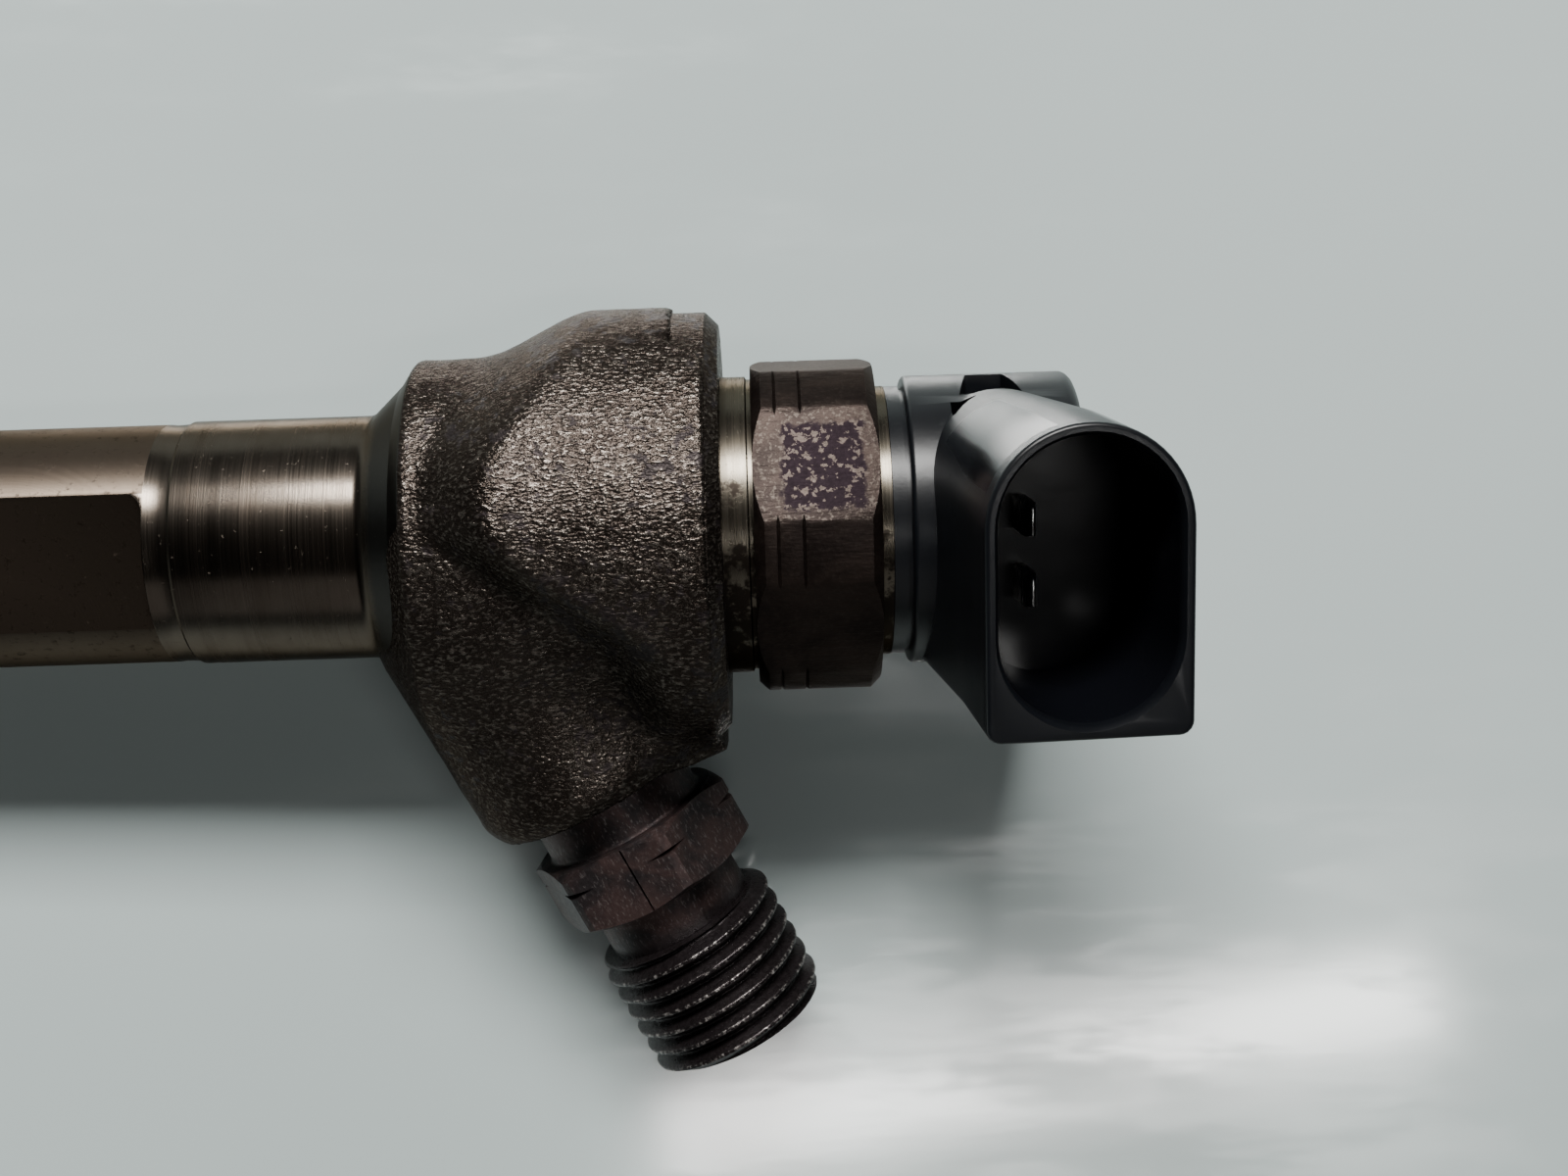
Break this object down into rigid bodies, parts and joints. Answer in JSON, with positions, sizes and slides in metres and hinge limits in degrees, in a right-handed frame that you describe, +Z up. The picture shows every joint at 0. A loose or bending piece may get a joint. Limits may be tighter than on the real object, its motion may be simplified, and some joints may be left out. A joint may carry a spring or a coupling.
{
  "type": "solenoid fuel injector",
  "caption": "Solenoid common-rail diesel injector with forged body, side inlet union, hex solenoid nut and angled two-blade plug socket.",
  "frame": {"origin": "on the injector's axis, at the sealing face of the copper washer", "axes": "+X along the injector's axis from nozzle to solenoid head; +Z up off the bench as the injector lies on its head and inlet union, which rolls the connector 13.6 degrees from +Z towards -Y; the inlet union points to -Y"},
  "size_m": [0.1842, 0.0553, 0.0422],
  "materials": {
    "forged_steel": "forged and oil-darkened, satin",
    "nozzle_steel": "ground",
    "hardened_steel": "ground and lapped",
    "turned_steel": "turned",
    "copper": "soft copper, lightly tarnished",
    "spring_steel": "drawn wire",
    "seal_polymer": "matte",
    "ceramic": "polished ceramic",
    "magnet_iron": "sintered, ground",
    "enamelled_copper": "enamelled wire",
    "bobbin_plastic": "moulded",
    "bright_steel": "turned, clean",
    "seal_rubber": "matte",
    "phosphated_steel": "phosphated, oil-darkened",
    "black_plastic": "glass-filled nylon, satin",
    "tinned_terminal": "tinned",
    "union_steel": "turned, rust-browned and oily"
  },
  "bodies": {
    "housing": {"injector_body": "forged_steel", "nozzle_body": "nozzle_steel", "nozzle_retaining_nut": "turned_steel", "sealing_washer": "copper", "nozzle_spring": "spring_steel", "spring_shim": "hardened_steel", "dowel_pins": "hardened_steel", "valve_body": "hardened_steel", "valve_body_seal": "seal_polymer", "valve_clamping_screw": "turned_steel", "armature_guide": "turned_steel", "overtravel_spring": "spring_steel", "lift_shim": "hardened_steel", "magnet_core": "magnet_iron", "coil_winding": "enamelled_copper", "coil_bobbin": "bobbin_plastic", "magnet_sleeve": "bright_steel", "solenoid_spring": "spring_steel", "spring_force_shim": "hardened_steel", "solenoid_oring": "seal_rubber", "solenoid_nut": "phosphated_steel", "connector_housing": "black_plastic", "terminal_pins": "tinned_terminal", "return_port_sleeve": "bright_steel", "inlet_fitting": "union_steel", "edge_filter": "hardened_steel"},
    "needle": {"nozzle_needle": "hardened_steel", "thrust_pin": "hardened_steel"},
    "piston": {"control_piston": "hardened_steel"},
    "armature": {"armature_bolt": "hardened_steel", "armature_clip": "spring_steel", "ball_holder": "hardened_steel", "valve_ball": "ceramic"},
    "plate": {"armature_plate": "magnet_iron"}
  },
  "joints": [
    {"name": "needle_lift", "type": "slide", "parent": "housing", "child": "needle", "axis": [1, 0, 0], "range_m": [0, 0.00025], "stiffness_N_per_m": 2000, "springref_m": -0.01, "deforming": ["nozzle_spring"]},
    {"name": "piston_lift", "type": "slide", "parent": "housing", "child": "piston", "axis": [1, 0, 0], "range_m": [0, 0.00025]},
    {"name": "armature_lift", "type": "slide", "parent": "housing", "child": "armature", "axis": [1, 0, 0], "range_m": [0, 0.00005], "stiffness_N_per_m": 1500, "springref_m": -0.01, "deforming": ["solenoid_spring"]},
    {"name": "plate_overtravel", "type": "slide", "parent": "armature", "child": "plate", "axis": [-1, 0, 0], "range_m": [0, 0.00004], "stiffness_N_per_m": 500, "springref_m": -0.002, "deforming": ["overtravel_spring"]}
  ],
  "couplings": [
    {"joint": "piston_lift", "follows": "needle_lift", "ratio": 1}
  ]
}
